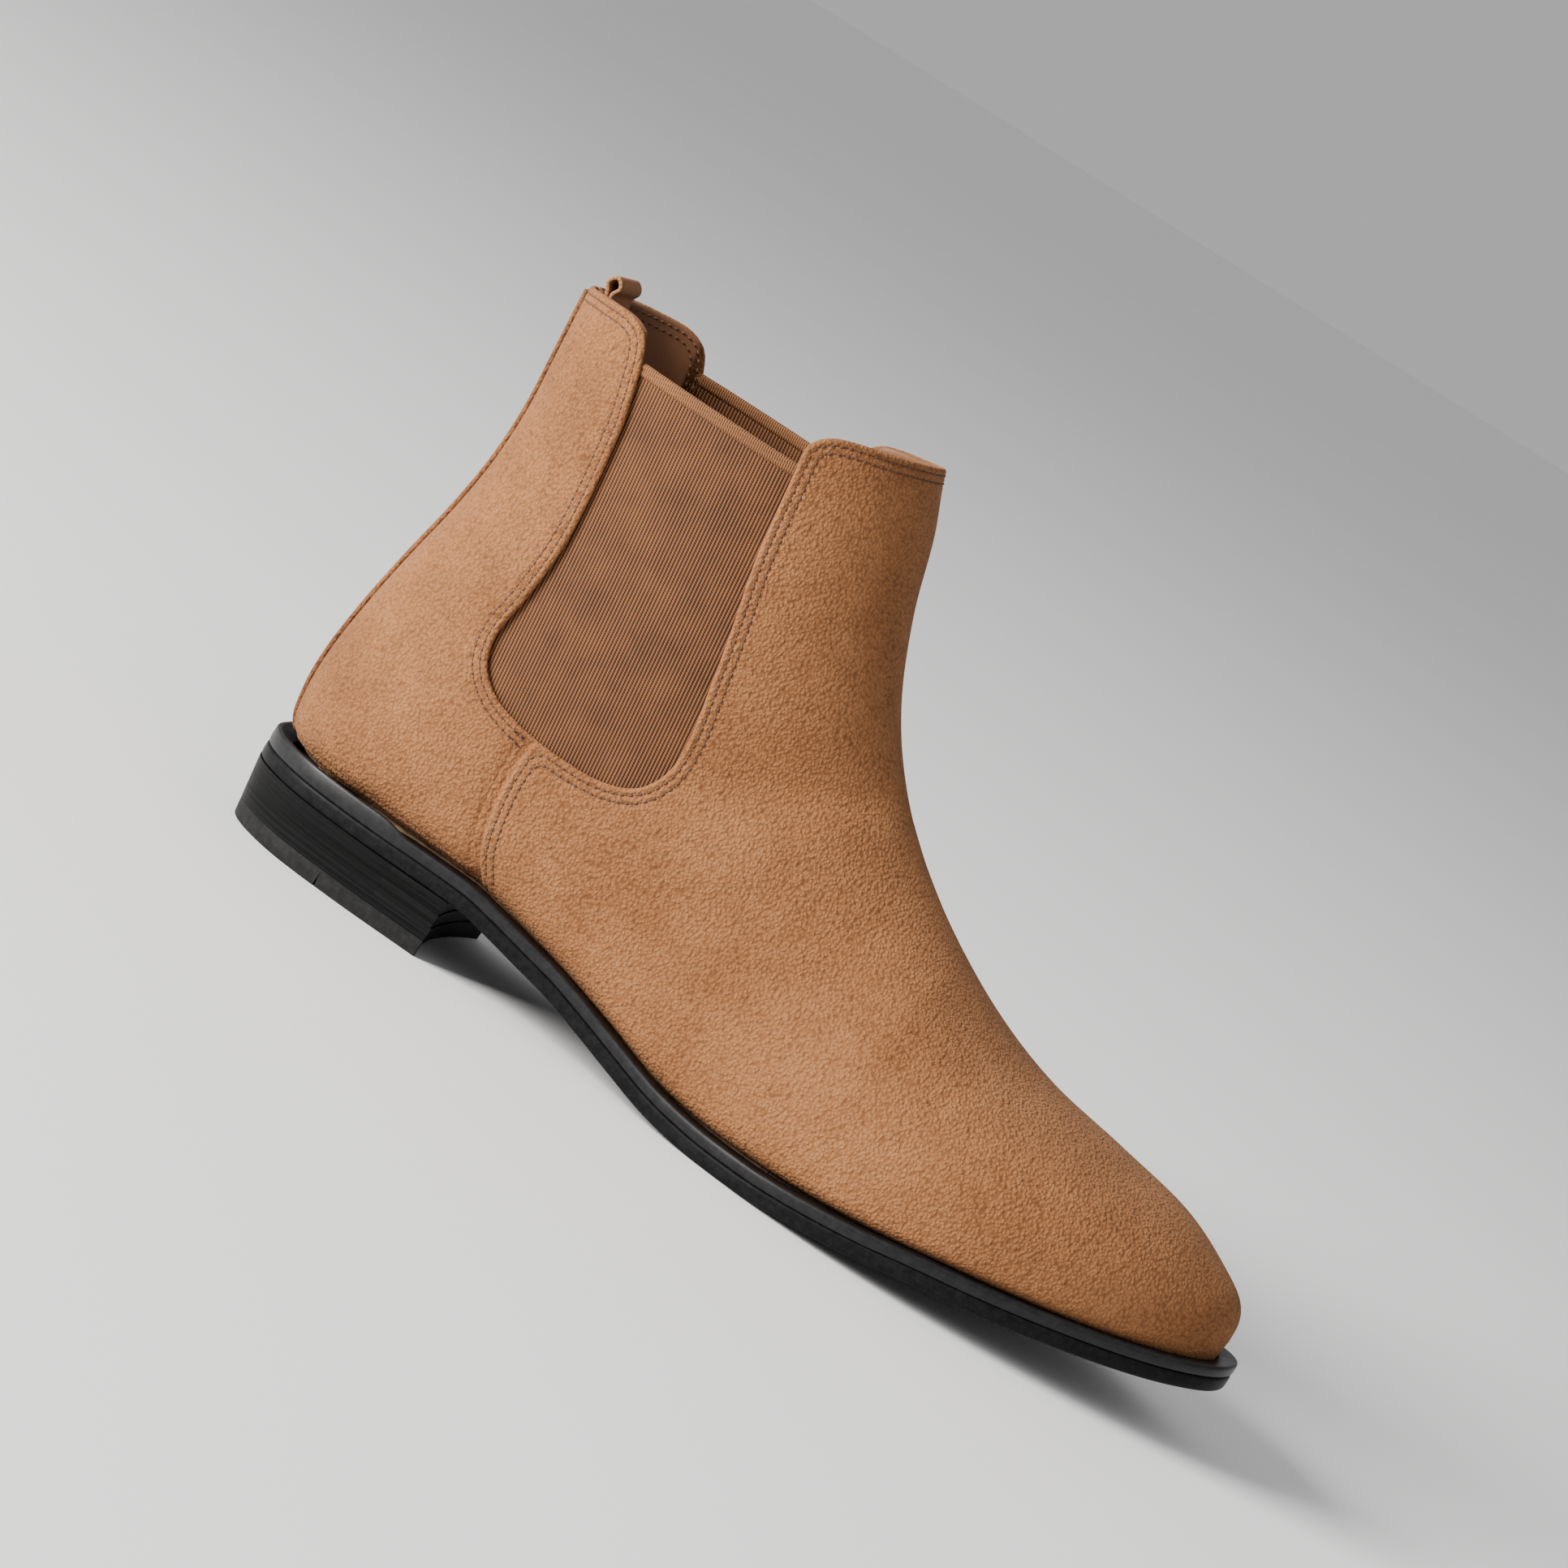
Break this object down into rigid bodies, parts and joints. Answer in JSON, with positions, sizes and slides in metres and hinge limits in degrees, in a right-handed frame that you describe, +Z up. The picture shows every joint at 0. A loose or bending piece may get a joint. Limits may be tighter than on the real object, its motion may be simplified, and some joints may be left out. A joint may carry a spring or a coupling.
{
  "type": "chelsea boot",
  "caption": "Men's ankle boot in suede with elastic side panels, a slim almond toe, a thin black welted sole and a low stacked heel, right foot.",
  "frame": {"origin": "on the ground, at the middle of the boot's length and width", "axes": "+X to the toe, +Y to the inner side of the foot, +Z up"},
  "size_m": [0.3094, 0.1001, 0.1816],
  "materials": {
    "suede": "suede nap, matt",
    "suede_strip": "suede nap with raw cut edges",
    "elastic": "ribbed woven elastic",
    "gore_binding": "folded diagonal tape",
    "lining_leather": "smooth satin",
    "sock_leather": "smooth satin",
    "stiffener": "matt",
    "cork": "granular, matt",
    "insole_board": "fibrous, matt",
    "spring_steel": "brushed",
    "nail_steel": "bright",
    "outsole_rubber": "satin edge",
    "welt_black": "waxed satin edge",
    "heel_stack": "waxed satin edge, fine layers",
    "top_piece_rubber": "matt",
    "webbing": "woven webbing"
  },
  "bodies": {
    "root": {"quarter_outer": "suede", "quarter_inner": "suede", "vamp_instep": "suede", "back_strip": "suede_strip", "heel_counter": "stiffener", "lining_quarters": "lining_leather", "lining_instep": "lining_leather", "gore_outer": "elastic", "gore_inner": "elastic", "gore_binding_outer": "gore_binding", "gore_binding_inner": "gore_binding", "outsole_rear": "outsole_rubber", "welt_rear": "welt_black", "cork_filler_rear": "cork", "insole_board_rear": "insole_board", "sock_liner_rear": "sock_leather", "shank": "spring_steel", "heel_lift_1": "heel_stack", "heel_lift_2": "heel_stack", "heel_lift_3": "heel_stack", "top_piece_rear": "top_piece_rubber", "top_piece_front": "top_piece_rubber", "heel_nail_1": "nail_steel", "heel_nail_2": "nail_steel", "heel_nail_3": "nail_steel", "heel_nail_4": "nail_steel", "heel_nail_5": "nail_steel", "pull_tab_anchor": "webbing"},
    "forefoot": {"vamp_toe": "suede", "toe_puff": "stiffener", "lining_toe": "lining_leather", "outsole_front": "outsole_rubber", "welt_front": "welt_black", "cork_filler_front": "cork", "insole_board_front": "insole_board", "sock_liner_front": "sock_leather"},
    "front_shaft": {"vamp_shaft_front": "suede", "lining_shaft_front": "lining_leather"},
    "pull_loop": {"pull_tab": "webbing"}
  },
  "joints": [
    {"name": "toe_flex", "type": "hinge", "parent": "root", "child": "forefoot", "pos_m": [0.0278, 0, 0.0135], "axis": [0, -1, 0], "range_deg": [0, 30], "stiffness_Nm_per_rad": 3, "deforming": ["vamp_instep", "lining_instep"]},
    {"name": "shaft_open", "type": "hinge", "parent": "root", "child": "front_shaft", "pos_m": [-0.046, 0, 0.078], "axis": [0, 1, 0], "range_deg": [0, 10], "stiffness_Nm_per_rad": 2, "deforming": ["vamp_instep", "lining_instep", "gore_outer", "gore_inner", "gore_binding_outer", "gore_binding_inner"]},
    {"name": "pull_loop_fold", "type": "hinge", "parent": "root", "child": "pull_loop", "pos_m": [-0.1367, 0, 0.1731], "axis": [0, 1, 0], "range_deg": [-20, 40], "stiffness_Nm_per_rad": 0.002}
  ]
}
